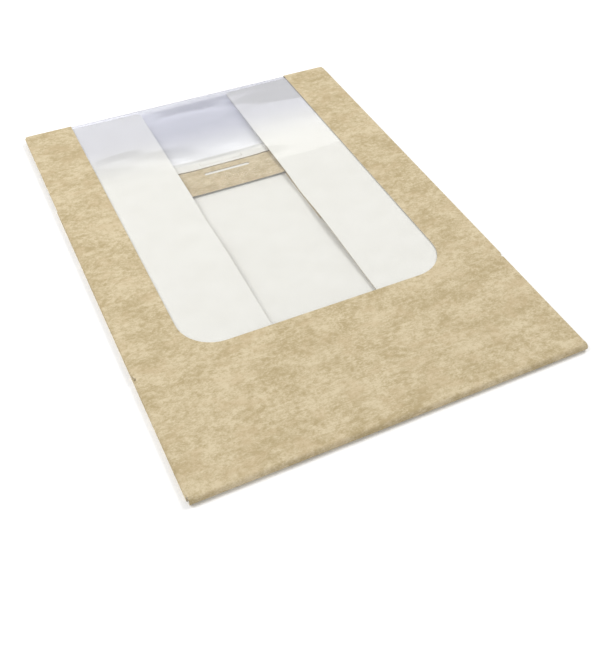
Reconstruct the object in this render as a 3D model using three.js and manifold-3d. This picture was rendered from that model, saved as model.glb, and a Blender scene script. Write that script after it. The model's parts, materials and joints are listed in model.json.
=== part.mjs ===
import * as THREE from 'three';
import { mergeVertices } from 'three/addons/utils/BufferGeometryUtils.js';
import Module from 'manifold-3d';

// A one-piece bakery carton with a film window, folded flat as it is delivered.
// Millimetres, +Z up. The tray lies underneath, white inside up. The back wall is folded over it
// and carries on as the lid, so the top sheet is the back wall and the lid in one plane.
// x runs across the carton, and y from the back fold to the front edge of the lid.

// The carton as it stands when it is made up
const WIDTH = 200;
const DEPTH = 211;
const HEIGHT = 71;
const FRONT_WALL_HEIGHT = 24;
const LID_FLAP_DEPTH = 70.9;

// Board and film
const BOARD = 0.42;
const FILM = 0.1;

// Window: it runs over the front edge of the lid and down the front flap, as far as the band
const WINDOW_SIDE_MARGIN = 28.5;
const WINDOW_BACK_MARGIN = 4.5;
const WINDOW_CORNER_RADIUS = 19;
const WINDOW_BAND = 8;
const WINDOW_BAND_RADIUS = 6;
const FILM_SIDE_OVERLAP = 8;
const FILM_BAND_OVERLAP = 2.5;
const FILM_CREASE_MARGIN = 0.6;
const FILM_CORNER_RADIUS = 4;

// Lock: a slot low in the front wall, and a tongue cut in the band of the front flap
const SLOT_LENGTH = 28;
const SLOT_WIDTH = 2.4;
const SLOT_ABOVE_CREASE = 6;
const TONGUE_SIDE_CLEARANCE = 1;
const TONGUE_DEPTH = 3;
const TONGUE_EDGE_MARGIN = 1.6;
const TONGUE_KERF = 0.15;

// Corner webs and the tabs that glue them to the side walls
const BACK_TAB_REACH = 95;
const BACK_TAB_SLANT = 22;
const FRONT_TAB_REACH = 38;
const FRONT_TAB_SLANT = 6;
const BACK_CORNER_RELIEF = 2.9;
const FRONT_CORNER_RELIEF = 4;
const WEB_SETBACK = 1.5;

// Edges of the side walls and flaps
const WALL_STEP = 1.2;
const WALL_NOTCH_RADIUS = 1.5;
const LID_FLAP_SETBACK = 1.5;
const LID_FLAP_TAPER = 1;
const LID_FLAP_CORNER_RADIUS = 3;
const FRONT_FLAP_CLEARANCE = 1;
const FRONT_FLAP_SETBACK = 2;
const FRONT_FLAP_TAPER = 4;
const FRONT_FLAP_CORNER_RADIUS = 8;

// Air between loose layers, round the lid that swings, and in the glue line of the film
const LAYER_GAP = 0.15;
const LID_GAP = 0.3;
const GLUE_GAP = 0.05;

// How far the legs of a fold reach into the panels that it joins, how far short of a web's corners
// its diagonal fold stops, and how finely curves are cut
const FOLD_LEG = 1;
const DIAGONAL_STOP = 1.5;
const FOLD_STEPS = 6;
const CORNER_STEPS = 10;

// Undersides of the layers, from the bottom up
const bottomZ = 0;
const sideWallZ = bottomZ + BOARD + LAYER_GAP;
const tabZ = sideWallZ + BOARD;
const webZ = tabZ + BOARD + LAYER_GAP;
const frontWallZ = webZ + BOARD + LAYER_GAP;
const sideFlapZ = frontWallZ + BOARD + LID_GAP;
const lidFilmZ = sideFlapZ + BOARD + LAYER_GAP;
const lidZ = lidFilmZ + FILM + GLUE_GAP;
const flapFilmZ = sideFlapZ - LAYER_GAP - FILM;
const frontFlapZ = flapFilmZ - GLUE_GAP - BOARD;

// Outer radius of the half turn that joins two layers
const foldRadius = (lowZ, highZ, thickness = BOARD) => (highZ + thickness - lowZ) / 2;
const sideFoldR = foldRadius(bottomZ, sideWallZ);
const backFoldR = foldRadius(bottomZ, lidZ);
const frontFoldR = foldRadius(bottomZ, frontWallZ);
const cornerFoldR = foldRadius(webZ, lidZ);
const tabFoldR = foldRadius(tabZ, webZ);
const webFoldR = foldRadius(webZ, frontWallZ);
const lidFlapFoldR = foldRadius(sideFlapZ, lidZ);
const lidFoldR = foldRadius(frontFlapZ, lidZ);
const filmFoldR = foldRadius(flapFilmZ, lidFilmZ, FILM);

// How far the layers stand back from a fold on a diagonal, half way along its legs, measured
// square to the carton
const tabInset = (tabFoldR + FOLD_LEG / 2) * Math.SQRT2;
const webInset = (webFoldR + FOLD_LEG / 2) * Math.SQRT2;

const halfWidth = WIDTH / 2;
const length = HEIGHT + DEPTH;
const lidStart = HEIGHT + LID_GAP / 2;
const lidEnd = length - lidFoldR;
const frontFlapEnd = DEPTH + FRONT_FLAP_CLEARANCE;
const windowHalf = halfWidth - WINDOW_SIDE_MARGIN;
const windowStart = HEIGHT + WINDOW_BACK_MARGIN;

// x of a point that lies so far in from the right-hand edge
const inFromSide = (distance) => halfWidth - distance;

// y of a point that lies so far back from the front crease of the tray
const inFromFront = (distance) => DEPTH - distance;

const wasm = await Module();
wasm.setup();

function asSolid(geometry) {
  geometry.deleteAttribute('normal');
  geometry.deleteAttribute('uv');
  const merged = mergeVertices(geometry, 1e-5);
  return new wasm.Manifold(new wasm.Mesh({
    numProp: 3,
    vertProperties: new Float32Array(merged.attributes.position.array),
    triVerts: new Uint32Array(merged.index.array),
  }));
}

function asGeometry(solid) {
  const mesh = solid.getMesh();
  const geometry = new THREE.BufferGeometry();
  geometry.setAttribute('position', new THREE.BufferAttribute(mesh.vertProperties, 3));
  geometry.setIndex(new THREE.BufferAttribute(mesh.triVerts, 1));
  geometry.computeVertexNormals();
  return geometry;
}

const joined = (solids) => solids.reduce((whole, next) => whole.add(next));
const onBothSides = (solid) => solid.add(solid.mirror([1, 0, 0]));

// Corners [x, y, radius] of the right half of a symmetrical outline, from back to front,
// followed by their mirror images.
const symmetrical = (corners) => [
  ...corners,
  ...corners.map(([x, y, radius]) => [-x, y, radius]).reverse(),
];

// An outline through corners [x, y, radius], with a true arc where a radius is given.
function outline(corners) {
  const points = [];
  corners.forEach(([x, y, radius], i) => {
    const corner = new THREE.Vector2(x, y);
    if (!radius) {
      points.push(corner);
      return;
    }
    const before = corners.at(i - 1);
    const after = corners[(i + 1) % corners.length];
    const toBefore = new THREE.Vector2(before[0], before[1]).sub(corner).normalize();
    const toAfter = new THREE.Vector2(after[0], after[1]).sub(corner).normalize();
    const half = Math.acos(toBefore.dot(toAfter)) / 2;
    const inward = toBefore.clone().add(toAfter).normalize();
    const centre = corner.clone().addScaledVector(inward, radius / Math.sin(half));
    const spoke = corner.clone().addScaledVector(toBefore, radius / Math.tan(half)).sub(centre);
    const turn = (2 * half - Math.PI) * Math.sign(spoke.cross(inward));
    for (let step = 0; step <= CORNER_STEPS; step += 1) {
      const turned = spoke.clone().rotateAround(new THREE.Vector2(), (turn * step) / CORNER_STEPS);
      points.push(turned.add(centre));
    }
  });
  return new THREE.Shape(points);
}

// A slab of the outline between two heights
function slab(corners, fromZ, toZ) {
  const settings = { depth: toZ - fromZ, bevelEnabled: false };
  return asSolid(new THREE.ExtrudeGeometry(outline(corners), settings).translate(0, 0, fromZ));
}

// A flat layer with its underside at z
const layer = (corners, z, thickness = BOARD) => slab(corners, z, z + thickness);

// A half turn that joins the layer at lowZ to the layer at highZ. Its outside just reaches the
// line from start to end, and the layers lie on the left of that line.
function fold(start, end, lowZ, highZ, thickness = BOARD) {
  const outer = foldRadius(lowZ, highZ, thickness);
  const inner = outer - thickness;
  const profile = new THREE.Shape();
  profile.moveTo(-outer - FOLD_LEG, -outer);
  profile.lineTo(-outer, -outer);
  profile.absarc(-outer, 0, outer, -Math.PI / 2, Math.PI / 2, false);
  profile.lineTo(-outer - FOLD_LEG, outer);
  profile.lineTo(-outer - FOLD_LEG, inner);
  profile.lineTo(-outer, inner);
  profile.absarc(-outer, 0, inner, Math.PI / 2, -Math.PI / 2, true);
  profile.lineTo(-outer - FOLD_LEG, -inner);
  const along = new THREE.Vector3(end[0] - start[0], end[1] - start[1], 0);
  const settings = { depth: along.length(), bevelEnabled: false, curveSegments: FOLD_STEPS };
  const bend = new THREE.ExtrudeGeometry(profile, settings);
  along.normalize();
  // The profile's x points out of the fold and its y points up, so the run goes back from the end.
  const outward = new THREE.Vector3(along.y, -along.x, 0);
  const up = new THREE.Vector3(0, 0, 1);
  const place = new THREE.Matrix4().makeBasis(outward, up, along.negate());
  place.setPosition(end[0], end[1], lowZ + outer);
  return asSolid(bend.applyMatrix4(place));
}

// The bottom, and the back wall folded over it
function makeBottomAndBackWall() {
  const bottomSide = inFromSide(sideFoldR);
  const backWallSide = inFromSide(cornerFoldR);
  const bottom = symmetrical([[bottomSide, backFoldR], [bottomSide, inFromFront(frontFoldR)]]);
  const backWall = symmetrical([[backWallSide, backFoldR], [backWallSide, HEIGHT - LID_GAP / 2]]);
  return joined([
    layer(bottom, bottomZ),
    layer(backWall, lidZ),
    fold([-bottomSide, 0], [bottomSide, 0], bottomZ, lidZ),
  ]);
}

// The low front wall, folded in over the bottom, with its slot
function makeFrontWall() {
  const cornerX = inFromSide(FRONT_CORNER_RELIEF);
  const wall = symmetrical([
    [inFromSide(FRONT_WALL_HEIGHT + webInset), inFromFront(FRONT_WALL_HEIGHT)],
    [cornerX, inFromFront(FRONT_CORNER_RELIEF - webInset)],
    [cornerX, inFromFront(frontFoldR)],
  ]);
  const slotRadius = SLOT_WIDTH / 2 - 0.01;
  const slotY = inFromFront(SLOT_ABOVE_CREASE);
  const slot = symmetrical([
    [SLOT_LENGTH / 2, slotY - SLOT_WIDTH / 2, slotRadius],
    [SLOT_LENGTH / 2, slotY + SLOT_WIDTH / 2, slotRadius],
  ]);
  const folded = layer(wall, frontWallZ).add(fold([cornerX, DEPTH], [-cornerX, DEPTH], bottomZ, frontWallZ));
  return folded.subtract(slab(slot, frontWallZ - LAYER_GAP / 2, frontWallZ + BOARD + LAYER_GAP));
}

// The right-hand side wall, folded in over the bottom. Its top edge steps down behind a round
// notch, and its back end is cut along the diagonal on which the back web folds.
function makeSideWall() {
  const stepY = inFromFront(HEIGHT);
  const lowTop = HEIGHT - WALL_STEP;
  const wall = [
    [inFromSide(sideFoldR), BACK_CORNER_RELIEF],
    [inFromSide(BACK_CORNER_RELIEF - tabInset), BACK_CORNER_RELIEF],
    [inFromSide(lowTop), lowTop + tabInset],
    [inFromSide(lowTop), stepY],
    [inFromSide(HEIGHT), stepY],
    [inFromSide(HEIGHT), inFromFront(frontFoldR)],
    [inFromSide(sideFoldR), inFromFront(frontFoldR)],
  ];
  const notch = new THREE.CylinderGeometry(WALL_NOTCH_RADIUS, WALL_NOTCH_RADIUS, BOARD + LAYER_GAP, 24);
  notch.rotateX(Math.PI / 2);
  notch.translate(inFromSide(lowTop), stepY, sideWallZ + BOARD / 2);
  const crease = fold(
    [halfWidth, BACK_CORNER_RELIEF],
    [halfWidth, inFromFront(FRONT_CORNER_RELIEF)],
    bottomZ,
    sideWallZ,
  );
  return layer(wall, sideWallZ).subtract(asSolid(notch)).add(crease);
}

// The web between the back wall and the right-hand side wall: it folds under the back wall, and
// folds back on its diagonal into the tab that is glued to the side wall.
function makeBackWeb() {
  const top = HEIGHT - WEB_SETBACK;
  const diagonalStart = BACK_CORNER_RELIEF + DIAGONAL_STOP;
  const diagonalEnd = top - DIAGONAL_STOP;
  const web = [
    [inFromSide(cornerFoldR), BACK_CORNER_RELIEF],
    [inFromSide(BACK_CORNER_RELIEF - tabInset), BACK_CORNER_RELIEF],
    [inFromSide(top - tabInset), top],
    [inFromSide(cornerFoldR), top],
  ];
  const tab = [
    [inFromSide(BACK_CORNER_RELIEF - tabInset), BACK_CORNER_RELIEF],
    [inFromSide(top - tabInset), top],
    [inFromSide(top - tabInset), BACK_TAB_REACH],
    [inFromSide(BACK_CORNER_RELIEF - tabInset), BACK_TAB_REACH - BACK_TAB_SLANT],
  ];
  return joined([
    layer(web, webZ),
    layer(tab, tabZ),
    fold([halfWidth, BACK_CORNER_RELIEF], [halfWidth, top], webZ, lidZ),
    fold([inFromSide(diagonalEnd), diagonalEnd], [inFromSide(diagonalStart), diagonalStart], tabZ, webZ),
  ]);
}

// The web between the front wall and the right-hand side wall, and its glued tab
function makeFrontWeb() {
  const top = FRONT_WALL_HEIGHT - WEB_SETBACK;
  const diagonalStart = FRONT_CORNER_RELIEF + DIAGONAL_STOP;
  const diagonalEnd = top - DIAGONAL_STOP;
  const creaseY = inFromFront(frontFoldR);
  const edgeY = creaseY - tabFoldR;
  const web = [
    [inFromSide(FRONT_CORNER_RELIEF), edgeY],
    [inFromSide(top), edgeY],
    [inFromSide(top), inFromFront(top - webInset)],
    [inFromSide(FRONT_CORNER_RELIEF), inFromFront(FRONT_CORNER_RELIEF - webInset)],
  ];
  const tab = [
    [inFromSide(FRONT_CORNER_RELIEF), edgeY],
    [inFromSide(top), edgeY],
    [inFromSide(top), inFromFront(FRONT_TAB_REACH)],
    [inFromSide(FRONT_CORNER_RELIEF), inFromFront(FRONT_TAB_REACH - FRONT_TAB_SLANT)],
  ];
  return joined([
    layer(web, webZ),
    layer(tab, tabZ),
    fold([inFromSide(FRONT_CORNER_RELIEF), creaseY], [inFromSide(top), creaseY], tabZ, webZ),
    fold(
      [inFromSide(diagonalEnd), inFromFront(diagonalEnd)],
      [inFromSide(diagonalStart), inFromFront(diagonalStart)],
      webZ,
      frontWallZ,
    ),
  ]);
}

function makeTray() {
  const rightSide = joined([makeSideWall(), makeBackWeb(), makeFrontWeb()]);
  return joined([makeBottomAndBackWall(), makeFrontWall(), onBothSides(rightSide)]);
}

// The lid's right-hand flap, folded under it
function makeLidFlap() {
  const start = HEIGHT + LID_FLAP_SETBACK;
  const end = lidEnd - LID_FLAP_SETBACK;
  const flap = [
    [inFromSide(lidFlapFoldR), start],
    [inFromSide(LID_FLAP_DEPTH), start + LID_FLAP_TAPER, LID_FLAP_CORNER_RADIUS],
    [inFromSide(LID_FLAP_DEPTH), end - LID_FLAP_TAPER, LID_FLAP_CORNER_RADIUS],
    [inFromSide(lidFlapFoldR), end],
  ];
  return layer(flap, sideFlapZ).add(fold([halfWidth, start], [halfWidth, end], sideFlapZ, lidZ));
}

// The lid's front flap, folded under it, with the cut round the lock tongue
function makeFrontFlap() {
  const rootX = inFromSide(FRONT_FLAP_SETBACK);
  const flap = symmetrical([
    [rootX - FRONT_FLAP_TAPER, frontFlapEnd, FRONT_FLAP_CORNER_RADIUS],
    [rootX, lidEnd],
  ]);
  const tongueHalf = SLOT_LENGTH / 2 - TONGUE_SIDE_CLEARANCE;
  const tipY = frontFlapEnd + TONGUE_EDGE_MARGIN;
  const rootY = tipY + TONGUE_DEPTH;
  const cutHalf = tongueHalf + TONGUE_KERF;
  const tongue = symmetrical([[tongueHalf, tipY + TONGUE_KERF, TONGUE_KERF], [tongueHalf, rootY + 1]]);
  const around = symmetrical([[cutHalf, tipY, TONGUE_KERF], [cutHalf, rootY]]);
  const cut = slab(around, frontFlapZ - 1, sideFlapZ).subtract(slab(tongue, frontFlapZ - 2, lidZ));
  return layer(flap, frontFlapZ).subtract(cut).add(fold([rootX, length], [-rootX, length], frontFlapZ, lidZ));
}

function makeLid() {
  const side = inFromSide(lidFlapFoldR);
  const panel = layer(symmetrical([[side, lidStart], [side, lidEnd]]), lidZ);
  const pastFold = length + lidFoldR;
  const middleZ = frontFlapZ + lidFoldR;
  const lidWindow = symmetrical([[windowHalf, windowStart, WINDOW_CORNER_RADIUS], [windowHalf, pastFold]]);
  const flapWindow = symmetrical([
    [windowHalf, frontFlapEnd + WINDOW_BAND, WINDOW_BAND_RADIUS],
    [windowHalf, pastFold],
  ]);
  const sheet = panel
    .add(makeFrontFlap())
    .subtract(slab(lidWindow, middleZ, middleZ + 2 * lidFoldR))
    .subtract(slab(flapWindow, middleZ - 2 * lidFoldR, middleZ));
  return sheet.add(onBothSides(makeLidFlap()));
}

// One sheet of film, glued inside the lid and round its front fold on to the front flap
function makeFilm() {
  const side = windowHalf + FILM_SIDE_OVERLAP;
  const start = lidStart + FILM_CREASE_MARGIN;
  const flapEnd = frontFlapEnd + WINDOW_BAND - FILM_BAND_OVERLAP;
  const creaseY = lidEnd + filmFoldR;
  const lidPart = symmetrical([[side, start, FILM_CORNER_RADIUS], [side, lidEnd]]);
  const flapPart = symmetrical([[side, flapEnd, FILM_CORNER_RADIUS], [side, lidEnd]]);
  return joined([
    layer(lidPart, lidFilmZ, FILM),
    layer(flapPart, flapFilmZ, FILM),
    fold([side, creaseY], [-side, creaseY], flapFilmZ, lidFilmZ, FILM),
  ]);
}

const kraft = new THREE.MeshStandardMaterial({ color: 0xccb994, roughness: 0.85, metalness: 0 });
const film = new THREE.MeshStandardMaterial({
  color: 0xf2f4f6,
  roughness: 0.08,
  metalness: 0,
  transparent: true,
  opacity: 0.25,
});

function named(name, solid, material) {
  const mesh = new THREE.Mesh(asGeometry(solid), material);
  mesh.name = name;
  return mesh;
}

// The origin is on the surface that the carton lies on, under the middle of its outline.
const carton = new THREE.Group();
carton.position.y = -length / 2;
carton.add(named('tray', makeTray(), kraft));
carton.add(named('lid', makeLid(), kraft));
carton.add(named('window_film', makeFilm(), film));

export default carton;
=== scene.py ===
import json
import math

import bmesh
import bpy
from mathutils import Matrix, Vector


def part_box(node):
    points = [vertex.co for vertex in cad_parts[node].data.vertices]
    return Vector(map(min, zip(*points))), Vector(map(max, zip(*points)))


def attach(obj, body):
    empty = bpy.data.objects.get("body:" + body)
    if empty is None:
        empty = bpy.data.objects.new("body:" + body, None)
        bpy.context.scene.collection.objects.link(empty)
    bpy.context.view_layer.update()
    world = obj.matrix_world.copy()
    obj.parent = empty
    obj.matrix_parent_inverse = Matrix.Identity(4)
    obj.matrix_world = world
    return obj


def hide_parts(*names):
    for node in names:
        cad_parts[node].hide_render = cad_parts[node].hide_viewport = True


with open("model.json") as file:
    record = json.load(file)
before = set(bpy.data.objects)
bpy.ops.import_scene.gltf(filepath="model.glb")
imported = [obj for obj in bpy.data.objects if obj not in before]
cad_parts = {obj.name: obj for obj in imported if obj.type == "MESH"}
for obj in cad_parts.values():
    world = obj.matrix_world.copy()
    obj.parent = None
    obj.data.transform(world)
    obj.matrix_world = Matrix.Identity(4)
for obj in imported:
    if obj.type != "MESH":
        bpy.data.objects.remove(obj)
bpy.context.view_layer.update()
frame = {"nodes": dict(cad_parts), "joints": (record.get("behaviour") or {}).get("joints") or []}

# A bakery carton, folded flat. Metres, +Z up. The solids give every form and place; here each gets
# a finely cut skin whose faces know which side of the board they are: kraft, white or cut edge.

MM = 0.001

# Camera, as the photograph was taken
PHOTO_WIDTH = 610
PHOTO_HEIGHT = 650
FOCAL_PIXELS = 863.6
SENSOR = 36.0
CLIP_START = 0.01
CAMERA_AZIMUTH = -26.3
CAMERA_ELEVATION = 46.0
CAMERA_ROLL = 0.8
CAMERA_DISTANCE = 0.4124
CAMERA_TARGET_X = -0.0153
CAMERA_TARGET_Y = -0.0725

# Light and floor
WORLD_STRENGTH = 0.62
LIGHT_COLOUR = (1, 1, 1, 1)
FLOOR_COLOUR = (1, 1, 1, 1)
FLOOR_SIZE = 12
FLOOR_DROP = 0.02 * MM

# Skins: spacing of the cuts that let them bend, and the angle that parts board faces from cut edges
CUT_SPACING = 5 * MM
SMOOTH_ANGLE = math.radians(32)
WELD = 0.0005 * MM

# Material places on a board's skin
KRAFT_SIDE = 0
WHITE_SIDE = 1
CUT_EDGE = 2
BOARD_MATERIALS = ("kraft", "white", "edge")

# How the loose layers settle. Each pair says where a movement is full and where it has faded out.
# The front wall is pressed down in the middle, most of all at its slot, and less at its free edge.
BOARD = 0.42 * MM
FRONT_WALL_UNDERSIDE = 2.13 * MM
PRESS = 1.63 * MM
PRESS_OVER_SIDES = 1.08 * MM
PRESS_MIDDLE_X = (18 * MM, 29 * MM)
PRESS_SIDES_X = (58 * MM, 75 * MM)
WALL_EDGE_Y = (46 * MM, 60 * MM)
WALL_EDGE_RISE = 0.6

# The free edge of the lid's front flap sinks with the front wall.
FRONT_FLAP_SINK_Y = (84 * MM, 130 * MM)
FRONT_FLAP_EDGE_Y = (71 * MM, 72.4 * MM)
FRONT_FLAP_SHIFT = 0.85 * MM

# The inner edges of the lid's side flaps sink towards the side walls, near the hinge and again
# beyond the place where the side walls step back, and stay up between the two.
SIDE_FLAP_UNDERSIDE = 2.85 * MM
SIDE_FLAP_SINK = 1.2 * MM
SIDE_FLAP_SINK_X = (29 * MM, 64 * MM)
SIDE_FLAP_SINK_Y = (20 * MM, 46 * MM)
SIDE_FLAP_NEAR_Y = (-62 * MM, -6 * MM)
SIDE_FLAP_FAR_Y = (30 * MM, -4 * MM)
SIDE_FLAP_SHIFT = 0.35 * MM
SIDE_FLAP_EDGE_X = (29.2 * MM, 33 * MM)

# The back wall's edge closes the slit at the lid's hinge.
LID_UNDERSIDE = 3.5 * MM
HINGE_SLIT = 0.27 * MM

# Colours, linear
KRAFT_PALE = (0.610, 0.516, 0.344, 1)
KRAFT_DARK = (0.418, 0.332, 0.184, 1)
KRAFT_WARM = (0.523, 0.408, 0.248, 1)
KRAFT_FLECK = (0.330, 0.240, 0.130, 1)
WHITE_PALE = (0.752, 0.743, 0.697, 1)
WHITE_DARK = (0.716, 0.705, 0.654, 1)
EDGE_PALE = (0.700, 0.630, 0.500, 1)
EDGE_DARK = (0.540, 0.450, 0.320, 1)
FILM_TINT = (0.93, 0.94, 0.95, 1)
# Painted shade and sheen: a lilac grey that darkens the white flaps and lightens the gap near the
# front fold
FILM_PAINTED_SHADE_SHEEN = (0.54, 0.55, 0.65, 1)

# Patterns: lumps a metre along each axis
KRAFT_CLOUDS = (55, 90, 55)
KRAFT_BLOTCHES = (240, 350, 240)
KRAFT_GRAIN = (900, 1400, 900)
KRAFT_PATCHES = (80, 120, 95)
KRAFT_FLECKS = (420, 1100, 800)
WHITE_CLOUDS = (60, 90, 60)
WHITE_GRAIN = (1300, 2100, 1300)
EDGE_PLIES = (700, 700, 9000)
FILM_WAVES = (16, 38, 16)

# Between which values of a pattern, 0 to 1, one colour turns into the other
KRAFT_TONES = (0.425, 0.57)
PATCH_TONES = (0.50, 0.66)
FLECK_TONES = (0.64, 0.72)
WHITE_TONES = (0.35, 0.65)
EDGE_TONES = (0.40, 0.60)

# How much of each is mixed in
BLOTCH_SHARE = 0.6
KRAFT_GRAIN_SHARE = 0.3
WHITE_GRAIN_SHARE = 0.35
PATCH_SHARE = 0.45
FLECK_SHARE = 0.4

# Surfaces
KRAFT_ROUGHNESS = 0.78
KRAFT_SPECULAR = 0.3
KRAFT_RELIEF = 0.1
WHITE_ROUGHNESS = 0.55
WHITE_SPECULAR = 0.35
WHITE_RELIEF = 0.12
EDGE_ROUGHNESS = 0.85
GRAIN_DEPTH = 0.08 * MM
FILM_ROUGHNESS = 0.06
FILM_METALLIC = 0.3
FILM_IOR = 1.5
FILM_WAVE_DEPTH = 0.45 * MM

# Film: how much it veils what lies under it, at the back, near the front fold where it carries a
# painted shade and sheen, and edge on
FILM_CLEAR = 0.07
FILM_PAINTED_SHADE_SHEEN_VEIL = 0.20
FILM_PAINTED_SHADE_SHEEN_Y = (66 * MM, 112 * MM)
FILM_EDGE_ON = 0.55
FILM_EDGE_ON_START = 0.45


def shader(name):
    """A new material with its Principled shader, and functions that add nodes and link them."""
    material = bpy.data.materials.new(name)
    material.use_nodes = True
    tree = material.node_tree
    principled = tree.nodes["Principled BSDF"]

    def add(kind, settings=None, **inputs):
        node = tree.nodes.new(kind)
        for key, value in (settings or {}).items():
            setattr(node, key, value)
        for key, value in inputs.items():
            socket = node.inputs[key.replace("_", " ")]
            if isinstance(value, bpy.types.NodeSocket):
                tree.links.new(value, socket)
            else:
                socket.default_value = value
        return node

    return material, principled, add, tree.links.new


def set_surface(principled, **values):
    """Sets the shader's own sockets, with underscores for the spaces in their names."""
    for key, value in values.items():
        principled.inputs[key.replace("_", " ")].default_value = value


def cloud(add, scale, detail=3.0, roughness=0.6):
    """A noise pattern in the piece's own coordinates, with so many lumps a metre along each axis."""
    place = add("ShaderNodeTexCoord")
    stretched = add("ShaderNodeMapping", Vector=place.outputs["Object"], Scale=scale)
    pattern = add(
        "ShaderNodeTexNoise",
        Vector=stretched.outputs["Vector"],
        Scale=1.0,
        Detail=detail,
        Roughness=roughness,
    )
    return pattern.outputs["Fac"]


def ramp(add, value, tones, low, high):
    """The low colour up to the first tone, the high one from the second, and a blend between."""
    node = add("ShaderNodeValToRGB", Fac=value)
    for stop, tone, colour in zip(node.color_ramp.elements, tones, (low, high)):
        stop.position = tone
        stop.color = colour
    return node.outputs["Color"]


def mixed(add, factor, first, second):
    """Two colours mixed."""
    node = add("ShaderNodeMix", {"data_type": "RGBA"})
    tree = node.id_data
    for index, value in ((0, factor), (6, first), (7, second)):
        if isinstance(value, bpy.types.NodeSocket):
            tree.links.new(value, node.inputs[index])
        else:
            node.inputs[index].default_value = value
    return node.outputs[2]


def relief(add, height, depth, strength=1.0):
    """A normal that follows the height of a pattern."""
    return add("ShaderNodeBump", Height=height, Distance=depth, Strength=strength).outputs["Normal"]


def grey(level):
    return (level, level, level, 1)


def kraft_material():
    """Uncoated kraft: soft blotches a little longer across the sheet, with warmer patches, fine
    grain and sparse dark flecks."""
    material, principled, add, link = shader("kraft")
    clouds = cloud(add, KRAFT_CLOUDS)
    blotches = cloud(add, KRAFT_BLOTCHES, detail=5.0, roughness=0.7)
    grain = cloud(add, KRAFT_GRAIN, roughness=0.7)
    tone = mixed(add, KRAFT_GRAIN_SHARE, mixed(add, BLOTCH_SHARE, clouds, blotches), grain)
    colour = ramp(add, tone, KRAFT_TONES, KRAFT_DARK, KRAFT_PALE)
    patches = cloud(add, KRAFT_PATCHES, detail=4.0)
    patch_share = ramp(add, patches, PATCH_TONES, grey(0), grey(PATCH_SHARE))
    flecks = cloud(add, KRAFT_FLECKS, detail=2.0)
    fleck_share = ramp(add, flecks, FLECK_TONES, grey(0), grey(FLECK_SHARE))
    warmed = mixed(add, patch_share, colour, KRAFT_WARM)
    link(mixed(add, fleck_share, warmed, KRAFT_FLECK), principled.inputs["Base Color"])
    link(relief(add, grain, GRAIN_DEPTH, KRAFT_RELIEF), principled.inputs["Normal"])
    set_surface(principled, Roughness=KRAFT_ROUGHNESS, Specular_IOR_Level=KRAFT_SPECULAR)
    return material


def white_material():
    """The board's white side: smoother, with a faint cloudiness."""
    material, principled, add, link = shader("white_side")
    clouds = cloud(add, WHITE_CLOUDS)
    grain = cloud(add, WHITE_GRAIN, detail=2.0)
    tone = mixed(add, WHITE_GRAIN_SHARE, clouds, grain)
    link(ramp(add, tone, WHITE_TONES, WHITE_DARK, WHITE_PALE), principled.inputs["Base Color"])
    link(relief(add, grain, GRAIN_DEPTH, WHITE_RELIEF), principled.inputs["Normal"])
    set_surface(principled, Roughness=WHITE_ROUGHNESS, Specular_IOR_Level=WHITE_SPECULAR)
    return material


def edge_material():
    """The board's cut edge: pale, with darker plies."""
    material, principled, add, link = shader("cut_edge")
    plies = cloud(add, EDGE_PLIES, detail=2.0)
    link(ramp(add, plies, EDGE_TONES, EDGE_DARK, EDGE_PALE), principled.inputs["Base Color"])
    set_surface(principled, Roughness=EDGE_ROUGHNESS)
    return material


def film_material():
    """Clear film: a glossy surface with slow waves, and a veil that is thicker where the film is seen
    edge on and at the front fold, where it carries a painted lilac grey shade and sheen."""
    material, principled, add, link = shader("window_film")
    place = add("ShaderNodeTexCoord")
    along = add("ShaderNodeSeparateXYZ", Vector=place.outputs["Object"]).outputs["Y"]
    # Painted shade and sheen, growing towards the front fold
    painted_shade_sheen = add(
        "ShaderNodeMapRange",
        {"interpolation_type": "SMOOTHSTEP"},
        Value=along,
        From_Min=FILM_PAINTED_SHADE_SHEEN_Y[0],
        From_Max=FILM_PAINTED_SHADE_SHEEN_Y[1],
    ).outputs["Result"]
    veil = add("ShaderNodeMapRange", Value=painted_shade_sheen, To_Min=FILM_CLEAR, To_Max=FILM_PAINTED_SHADE_SHEEN_VEIL)
    facing = add("ShaderNodeLayerWeight").outputs["Facing"]
    rim = add("ShaderNodeMapRange", Value=facing, From_Min=FILM_EDGE_ON_START, To_Max=FILM_EDGE_ON)
    alpha = add("ShaderNodeMath", {"operation": "ADD"})
    link(veil.outputs["Result"], alpha.inputs[0])
    link(rim.outputs["Result"], alpha.inputs[1])
    link(alpha.outputs["Value"], principled.inputs["Alpha"])
    # The film's colour turns to the painted shade and sheen near the front fold
    link(mixed(add, painted_shade_sheen, FILM_TINT, FILM_PAINTED_SHADE_SHEEN), principled.inputs["Base Color"])
    waves = cloud(add, FILM_WAVES, detail=1.0)
    link(relief(add, waves, FILM_WAVE_DEPTH), principled.inputs["Normal"])
    set_surface(principled, Roughness=FILM_ROUGHNESS, Metallic=FILM_METALLIC, IOR=FILM_IOR)
    return material


MATERIALS = {
    "kraft": kraft_material(),
    "white": white_material(),
    "edge": edge_material(),
    "film": film_material(),
}


def copy_of(node_name):
    """The solid's mesh as a bmesh, with its shared corners welded."""
    skin = bmesh.new()
    skin.from_mesh(frame["nodes"][node_name].data)
    bmesh.ops.remove_doubles(skin, verts=skin.verts, dist=WELD)
    return skin


def smooth_regions(skin):
    """Groups of faces that run into each other with no sharp edge between them, largest first."""
    skin.faces.ensure_lookup_table()
    seen = set()
    regions = []
    for first in skin.faces:
        if first.index in seen:
            continue
        seen.add(first.index)
        region = []
        waiting = [first]
        while waiting:
            face = waiting.pop()
            region.append(face)
            for edge in face.edges:
                if len(edge.link_faces) != 2 or edge.calc_face_angle(math.pi) > SMOOTH_ANGLE:
                    continue
                for neighbour in edge.link_faces:
                    if neighbour.index not in seen:
                        seen.add(neighbour.index)
                        waiting.append(neighbour)
        regions.append(region)
    return sorted(regions, key=lambda region: -sum(face.calc_area() for face in region))


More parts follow.
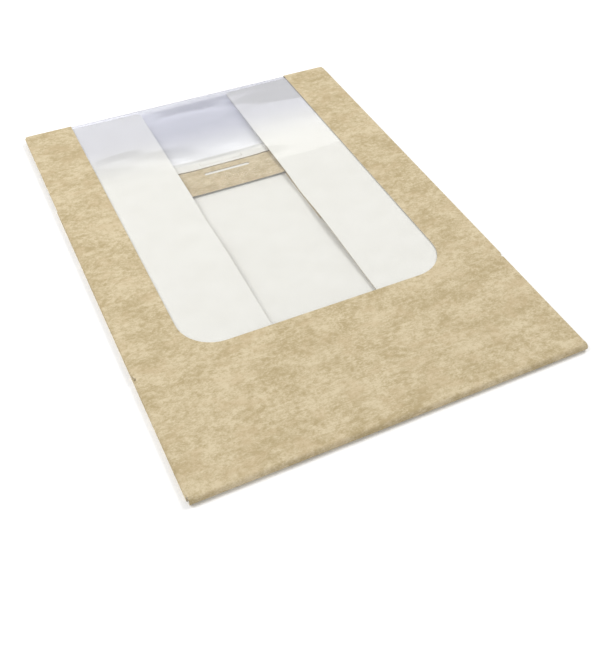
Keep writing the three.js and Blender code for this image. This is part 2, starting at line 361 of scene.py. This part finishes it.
def give_sides(skin, kraft_on_top):
    """Sets each face's material: the two big smooth regions are the board's sides, the rest is
    cut edge. The kraft side is the one with the highest face (lid) or the lowest one (tray)."""
    regions = smooth_regions(skin)
    sides = regions[:2]
    outward = 1 if kraft_on_top else -1

    def outermost(region):
        return max(outward * face.calc_center_median().z for face in region)

    kraft_side = max(sides, key=outermost)
    for region in regions:
        place = CUT_EDGE
        if region is kraft_side:
            place = KRAFT_SIDE
        elif region in sides:
            place = WHITE_SIDE
        for face in region:
            face.material_index = place


def cut_finely(skin, box):
    """Cuts the skin by upright planes, so that it can be bent."""
    low, high = box
    for axis in (0, 1):
        steps = int((high[axis] - low[axis]) / CUT_SPACING)
        for step in range(1, steps + 1):
            place = [0.0, 0.0, 0.0]
            place[axis] = low[axis] + step * (high[axis] - low[axis]) / (steps + 1)
            normal = [0.0, 0.0, 0.0]
            normal[axis] = 1.0
            bmesh.ops.bisect_plane(
                skin,
                geom=skin.verts[:] + skin.edges[:] + skin.faces[:],
                dist=WELD,
                plane_co=place,
                plane_no=normal,
            )


def share_of_way(value, start, end):
    """How far the value is on its way from start to end, 0 to 1. Either can be the higher."""
    return min(max((value - start) / (end - start), 0.0), 1.0)


def fade(value, full, none):
    """1 as far as full, 0 from none on, and smooth between them."""
    share = share_of_way(value, full, none)
    return 1.0 - share * share * (3.0 - 2.0 * share)


def press(co):
    """How far the front wall and the front flap are pressed down, across the carton."""
    width = abs(co.x)
    over_sides = PRESS_OVER_SIDES * fade(width, *PRESS_SIDES_X)
    return over_sides + (PRESS - PRESS_OVER_SIDES) * fade(width, *PRESS_MIDDLE_X)


def settle_tray(co):
    """Presses the front wall down, and closes the back wall up to the hinge."""
    turn_start = tray_front - (FRONT_WALL_UNDERSIDE + BOARD) / 2
    if co.y > 0 and (co.z > FRONT_WALL_UNDERSIDE - BOARD or co.y > turn_start):
        height = share_of_way(co.z, BOARD, FRONT_WALL_UNDERSIDE)
        co.z -= height * press(co) * (1.0 - WALL_EDGE_RISE * fade(co.y, *WALL_EDGE_Y))
    if co.z > LID_UNDERSIDE and co.y > hinge_y - HINGE_SLIT:
        co.y += HINGE_SLIT


def settle_lid(co):
    """Sinks the free edge of the front flap and the inner edges of the side flaps."""
    if co.y > tray_front and co.z < SIDE_FLAP_UNDERSIDE:
        co.z -= press(co) * fade(co.y, *FRONT_FLAP_SINK_Y)
        co.y -= FRONT_FLAP_SHIFT * fade(co.y, *FRONT_FLAP_EDGE_Y)
    elif co.z < LID_UNDERSIDE:
        along = max(fade(co.y, *SIDE_FLAP_NEAR_Y), fade(co.y, *SIDE_FLAP_FAR_Y))
        sink = SIDE_FLAP_SINK * along * fade(co.y, *SIDE_FLAP_SINK_Y)
        co.z -= sink * fade(abs(co.x), *SIDE_FLAP_SINK_X)
        co.x -= math.copysign(SIDE_FLAP_SHIFT * fade(abs(co.x), *SIDE_FLAP_EDGE_X), co.x)


def settle_film(co):
    """Lets the film follow the front flap."""
    if co.z < SIDE_FLAP_UNDERSIDE:
        co.z -= press(co) * fade(co.y, *FRONT_FLAP_SINK_Y)


def make_piece(name, skin, materials, body, node_name):
    """The skin as a piece that rides on the body in place of its solid."""
    mesh = bpy.data.meshes.new(name)
    skin.to_mesh(mesh)
    skin.free()
    for material in materials:
        mesh.materials.append(MATERIALS[material])
    mesh.polygons.foreach_set("use_smooth", [True] * len(mesh.polygons))
    mesh.set_sharp_from_angle(angle=SMOOTH_ANGLE)
    piece = bpy.data.objects.new(name, mesh)
    bpy.context.scene.collection.objects.link(piece)
    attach(piece, body)
    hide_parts(node_name)


def make_board(name, body, node_name, kraft_on_top, settle):
    """A piece of folded board in place of its solid, with its layers settled."""
    skin = copy_of(node_name)
    give_sides(skin, kraft_on_top)
    cut_finely(skin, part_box(node_name))
    for vertex in skin.verts:
        settle(vertex.co)
    make_piece(name, skin, BOARD_MATERIALS, body, node_name)


def make_film():
    """The window film in place of its solid, following the front flap."""
    skin = copy_of("window_film")
    cut_finely(skin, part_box("window_film"))
    for vertex in skin.verts:
        settle_film(vertex.co)
    make_piece("film_sheet", skin, ("film",), "lid", "window_film")


tray_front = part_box("tray")[1][1]
hinge_y = frame["joints"][0]["pos_m"][1]
make_board("tray_board", "tray", "tray", kraft_on_top=False, settle=settle_tray)
make_board("lid_board", "lid", "lid", kraft_on_top=True, settle=settle_lid)
make_film()


def make_floor():
    """A wide white floor that takes the carton's shadow."""
    bpy.ops.mesh.primitive_plane_add(size=FLOOR_SIZE, location=(0, 0, -FLOOR_DROP))
    floor = bpy.context.object
    floor.name = "floor"
    material, principled, _, _ = shader("floor")
    set_surface(principled, Base_Color=FLOOR_COLOUR, Roughness=1.0, Specular_IOR_Level=0.0)
    floor.data.materials.append(material)


def look_from(azimuth, elevation, distance, target):
    """Where something stands that looks at the target from an azimuth and elevation."""
    turn = math.radians(azimuth)
    rise = math.radians(elevation)
    back = Vector((math.sin(turn) * math.cos(rise), -math.cos(turn) * math.cos(rise), math.sin(rise)))
    return Vector(target) + distance * back


def make_camera():
    """The camera at the photograph's place, with its view and its slight roll."""
    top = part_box("lid")[1][2]
    target = (CAMERA_TARGET_X, CAMERA_TARGET_Y, top)
    camera = bpy.data.objects.new("camera", bpy.data.cameras.new("camera"))
    camera.location = look_from(CAMERA_AZIMUTH, CAMERA_ELEVATION, CAMERA_DISTANCE, target)
    facing = (Vector(target) - camera.location).to_track_quat("-Z", "Y").to_matrix().to_4x4()
    roll = Matrix.Rotation(math.radians(CAMERA_ROLL), 4, "Z")
    camera.rotation_euler = (facing @ roll).to_euler()
    camera.data.sensor_width = SENSOR
    camera.data.lens = FOCAL_PIXELS * SENSOR / max(PHOTO_WIDTH, PHOTO_HEIGHT)
    camera.data.clip_start = CLIP_START
    bpy.context.scene.collection.objects.link(camera)
    bpy.context.scene.camera = camera


def make_lamp(name, azimuth, elevation, distance, width, height, power):
    """A soft lamp that looks at the carton."""
    lamp = bpy.data.objects.new(name, bpy.data.lights.new(name, "AREA"))
    lamp.data.shape = "RECTANGLE"
    lamp.data.size = width
    lamp.data.size_y = height
    lamp.data.energy = power
    lamp.location = look_from(azimuth, elevation, distance, (0, 0, 0))
    lamp.rotation_euler = (-lamp.location).to_track_quat("-Z", "Y").to_euler()
    bpy.context.scene.collection.objects.link(lamp)


def make_lamps():
    """A key lamp on the right, a fill on the left, and a low strip behind for the film's sheen."""
    make_lamp("key", azimuth=104, elevation=50, distance=1.2, width=0.45, height=0.45, power=6.2)
    make_lamp("fill", azimuth=-105, elevation=46, distance=0.8, width=0.5, height=0.5, power=2.9)
    make_lamp("sheen", azimuth=161, elevation=31, distance=1.3, width=0.8, height=0.1, power=0.45)


def make_world():
    """Even white light all round."""
    world = bpy.data.worlds.new("studio")
    world.use_nodes = True
    background = world.node_tree.nodes["Background"]
    background.inputs["Color"].default_value = LIGHT_COLOUR
    background.inputs["Strength"].default_value = WORLD_STRENGTH
    bpy.context.scene.world = world


make_floor()
make_camera()
make_lamps()
make_world()
bpy.context.scene.view_settings.view_transform = "Standard"
